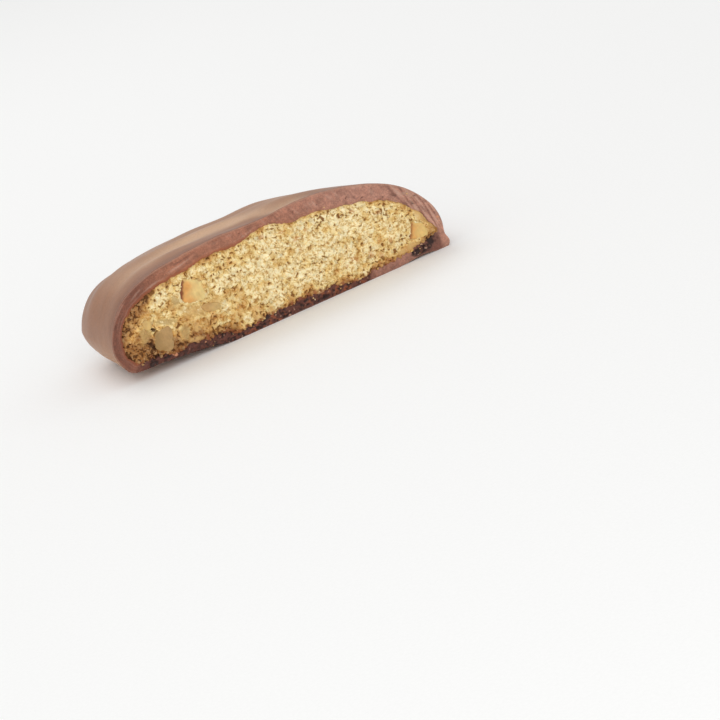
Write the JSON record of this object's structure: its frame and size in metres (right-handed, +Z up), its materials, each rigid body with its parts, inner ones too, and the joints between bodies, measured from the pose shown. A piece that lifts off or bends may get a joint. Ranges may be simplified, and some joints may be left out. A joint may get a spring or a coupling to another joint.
{
  "type": "chocolate hazelnut biscuit",
  "caption": "Half of a thick oval biscuit coated in milk chocolate, cut across to show its crumb and chopped hazelnut pieces.",
  "frame": {"origin": "on the base, below the middle of the half biscuit", "axes": "+X along the cut face, +Y from the cut face to the rounded rear, +Z up from the flat base"},
  "size_m": [0.0518, 0.0208, 0.0151],
  "materials": {
    "milk_chocolate": "satin milk chocolate, softly rippled where it ran down, finely dragged on the cut",
    "biscuit_crumb": "dry short crumb, pale in the middle and golden towards the edges, with small brown pores",
    "hazelnut": "sliced roasted nut, smooth and slightly waxy, with a thin brown skin on one side"
  },
  "bodies": {
    "root": {"coating": "milk_chocolate", "crumb": "biscuit_crumb", "hazelnut_1": "hazelnut", "hazelnut_2": "hazelnut", "hazelnut_3": "hazelnut", "hazelnut_4": "hazelnut", "hazelnut_5": "hazelnut"}
  },
  "joints": []
}
